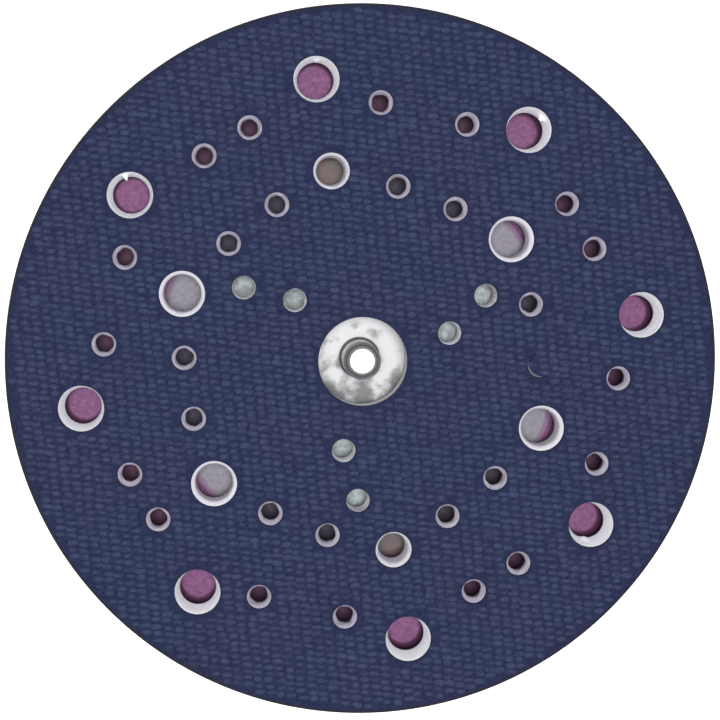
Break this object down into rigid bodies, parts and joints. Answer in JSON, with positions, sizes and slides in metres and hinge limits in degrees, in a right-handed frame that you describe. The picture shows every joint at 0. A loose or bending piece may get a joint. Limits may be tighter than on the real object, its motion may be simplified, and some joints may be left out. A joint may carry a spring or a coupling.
{
  "type": "orbital sander backing pad",
  "caption": "Round hook-and-loop backing pad for a random-orbit sander: dust holes through soft foam, a channelled plate, a steel hub and a threaded stud.",
  "frame": {"origin": "on the stud's axis, at the washer face that the sander's spindle bears on", "axes": "+Z along the stud's axis, from the spindle face towards the hook face; the stud points down -Z; +X and +Y set the bearings of the dust holes"},
  "size_m": [0.15, 0.15, 0.0332],
  "materials": {
    "hook": "matt micro-hook facing, dark navy with paler rows of hook heads",
    "film": "thin translucent adhesive film",
    "foam": "soft closed-cell polyurethane foam, white",
    "sheet": "thin stiff plastic sheet, off-white",
    "plate": "moulded glass-filled nylon, muted purple",
    "carrier": "moulded glass-filled nylon, grey",
    "hub_steel": "turned and zinc-plated steel",
    "stud_steel": "bright turned steel",
    "rivet_metal": "satin aluminium",
    "screw_metal": "black oxide steel",
    "fibre": "pressed red-brown fibre"
  },
  "bodies": {
    "root": {"hook_facing": "hook", "facing_film": "film", "foam_pad": "foam", "foam_film": "film", "support_sheet": "sheet", "channel_plate": "plate", "carrier_disc": "carrier", "centre_spacer": "carrier", "hub": "hub_steel", "threaded_stud": "stud_steel", "seat_washer": "fibre", "hub_rivets": "rivet_metal", "carrier_screws": "screw_metal"}
  },
  "joints": []
}
